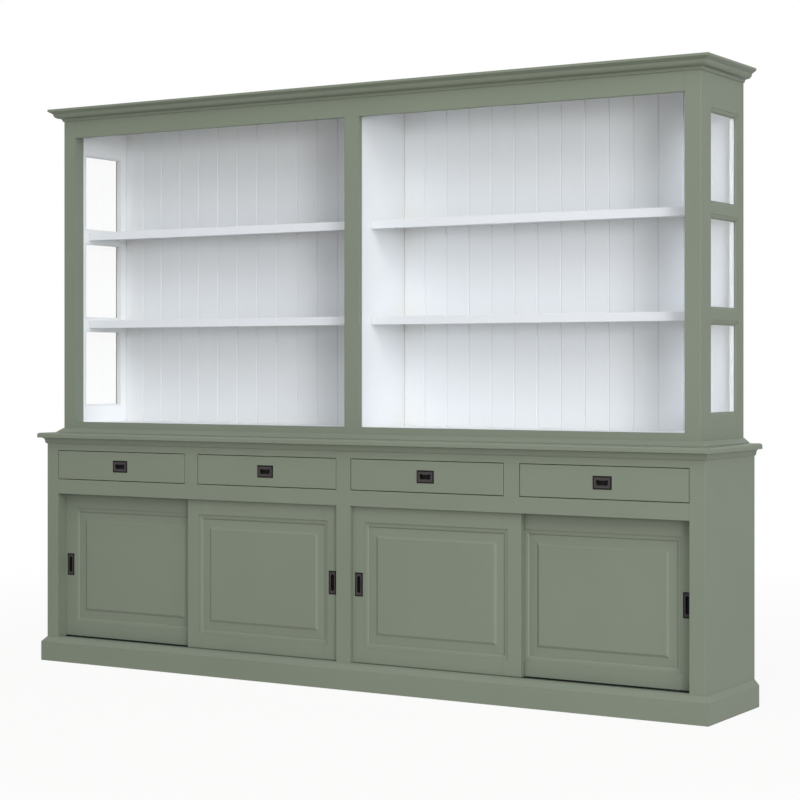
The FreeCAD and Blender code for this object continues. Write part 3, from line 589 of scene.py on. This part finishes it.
ironMaterial = makeBlackIron()
nylonMaterial = makeSmallParts("nylon", nylon)
zincMaterial = makeSmallParts("zincSteel", zincSteel)
finishWith(makeGlass(), "side_glass_left", "side_glass_right")
finishWith(zincMaterial, "case_screws", "shelf_pins")
finishWith(nylonMaterial, "door_tracks")
for number in numbers:
    finishWith(ironMaterial, "drawer_pull_%d" % number, "door_pull_%d" % number)
    finishWith(nylonMaterial, "door_glides_%d" % number)
print("metal, glass and nylon done")


# fixings on the back

fixings = {"radius": 0.0034, "faceShare": 0.86, "sides": 14, "boardProud": 0.0007, "panelProud": 0.00015,
           "boardInset": 0.013, "boardEdge": 0.02, "panelInset": 0.009, "panelStep": 0.145}


def addHead(mesh, spot, proud):
    # a low round head that narrows to its face
    place = Matrix.Translation(spot + Vector((0, proud / 2, 0))) @ Matrix.Rotation(radians(-90), 4, "X")
    bmesh.ops.create_cone(mesh, cap_ends=True, segments=fixings["sides"], radius1=fixings["radius"],
                          radius2=fixings["radius"] * fixings["faceShare"], depth=proud, matrix=place)


def boardSpots(side):
    low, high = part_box("back_boards_" + side)
    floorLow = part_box("upper_floor")[0].z
    levels = [floorLow + fixings["boardInset"], high.z - fixings["boardInset"]]
    middle = low.x + boarding["firstBoard"] - boarding["pitch"] / 2
    while middle < high.x:
        for level in levels:
            yield Vector((max(middle, low.x + fixings["boardEdge"]), high.y, level))
        middle += boarding["pitch"]


def panelSpots():
    low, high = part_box("base_back_panel")
    inset = fixings["panelInset"]
    count = int((high.x - low.x) / fixings["panelStep"])
    for step in range(count + 1):
        across = low.x + inset + (high.x - low.x - 2 * inset) * step / count
        for level in (low.z + inset, high.z - inset):
            yield Vector((across, high.y, level))


def makeFixings():
    mesh = bmesh.new()
    for side in ("left", "right"):
        for spot in boardSpots(side):
            addHead(mesh, spot, fixings["boardProud"])
    for spot in panelSpots():
        addHead(mesh, spot, fixings["panelProud"])
    data = bpy.data.meshes.new("backFixings")
    mesh.to_mesh(data)
    mesh.free()
    heads = bpy.data.objects.new("backFixings", data)
    bpy.context.scene.collection.objects.link(heads)
    data.materials.append(zincMaterial)
    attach(heads, "cabinet")
    print("back fixings:", len(data.polygons), "faces")


makeFixings()


# floor, light and camera

stage = {"floorSize": 400.0, "tone": (0.63, 0.59, 0.54, 1), "roughness": 0.9,
         "nearGlow": 0.93, "near": 1.8, "far": 5.0}
lampAim = (0.0, 0.0, 1.1)
lamps = [
    {"name": "lowKey", "at": (11.66, -10.87, 2.49), "size": 4.0, "power": 740.0},
    {"name": "lowFill", "at": (4.13, -15.40, 2.49), "size": 4.0, "power": 180.0},
    {"name": "key", "at": (10.50, -9.45, 8.61), "size": 9.0, "power": 500.0},
    {"name": "front", "at": (4.74, -13.02, 9.10), "size": 9.0, "power": 330.0},
    {"name": "side", "at": (13.76, -5.56, 7.09), "size": 9.0, "power": 350.0},
    {"name": "high", "at": (1.39, -7.88, 14.96), "size": 9.0, "power": 680.0},
]
sky = {"light": (1.0, 1.0, 1.0, 1), "level": 0.19}
view = {"at": (4.16036, -6.58553, 1.22197), "turn": 31.507, "lens": 90.56, "sensor": 36.0,
        "shiftUp": -0.0424, "farthest": 400.0}
plainWhite = (1, 1, 1, 1)
firstBounce = 0.5      # rays below this have met no dull surface yet


def seenDirectly(tree):
    # white to the eye, in metal and through glass, but no lamp for what it lights
    rays = newNode(tree, "LightPath").outputs
    seen = anyOf(tree, [rays["Is Camera Ray"], rays["Is Glossy Ray"], rays["Is Transmission Ray"]])
    return doMath(tree, "MULTIPLY", seen, doMath(tree, "LESS_THAN", rays["Diffuse Depth"], firstBounce))


def makeFloor():
    mesh = bpy.data.meshes.new("floor")
    half = stage["floorSize"] / 2
    corners = [(-half, -half, 0), (half, -half, 0), (half, half, 0), (-half, half, 0)]
    mesh.from_pydata(corners, [], [(0, 1, 2, 3)])
    floor = bpy.data.objects.new("floor", mesh)
    bpy.context.scene.collection.objects.link(floor)
    material, tree, shader = newMaterial("paleFloor", **{"Base Color": stage["tone"],
                                                         "Roughness": stage["roughness"]})
    seen = newNode(tree, "Emission", {"Color": plainWhite, "Strength": 1.0})
    spot = newNode(tree, "TexCoord").outputs["Object"]
    away = newNode(tree, "VectorMath", {0: spot}, operation="LENGTH").outputs["Value"]
    glow = mapValue(tree, away, (stage["near"], stage["far"]), (stage["nearGlow"], 1.0))
    share = doMath(tree, "MULTIPLY", seenDirectly(tree), glow)
    both = newNode(tree, "MixShader", {0: share, 1: shader.outputs[0], 2: seen.outputs[0]})
    tree.links.new(both.outputs[0], tree.nodes["Material Output"].inputs["Surface"])
    mesh.materials.append(material)


def makeSky():
    world = bpy.data.worlds.new("studio")
    bpy.context.scene.world = world
    world.use_nodes = True
    tree = world.node_tree
    light = tree.nodes["Background"]
    light.inputs["Color"].default_value = sky["light"]
    light.inputs["Strength"].default_value = sky["level"]
    seen = newNode(tree, "Background", {"Color": plainWhite, "Strength": 1.0})
    both = newNode(tree, "MixShader", {0: seenDirectly(tree), 1: light.outputs[0], 2: seen.outputs[0]})
    tree.links.new(both.outputs[0], tree.nodes["World Output"].inputs["Surface"])


def makeLamps():
    for lamp in lamps:
        data = bpy.data.lights.new(lamp["name"], "AREA")
        data.shape = "DISK"
        data.size = lamp["size"]
        data.energy = lamp["power"]
        light = bpy.data.objects.new(lamp["name"], data)
        light.location = lamp["at"]
        toward = Vector(lampAim) - Vector(lamp["at"])
        light.rotation_euler = toward.to_track_quat("-Z", "Y").to_euler()
        bpy.context.scene.collection.objects.link(light)


def makeCamera():
    data = bpy.data.cameras.new("camera")
    data.sensor_width = view["sensor"]
    data.lens = view["lens"]
    data.shift_y = view["shiftUp"]
    data.clip_end = view["farthest"]
    camera = bpy.data.objects.new("camera", data)
    camera.location = view["at"]
    camera.rotation_euler = (radians(90), 0, radians(view["turn"]))
    bpy.context.scene.collection.objects.link(camera)
    bpy.context.scene.camera = camera


makeFloor()
makeSky()
makeLamps()
makeCamera()
bpy.context.scene.view_settings.view_transform = "Standard"
print("floor, light and camera done")
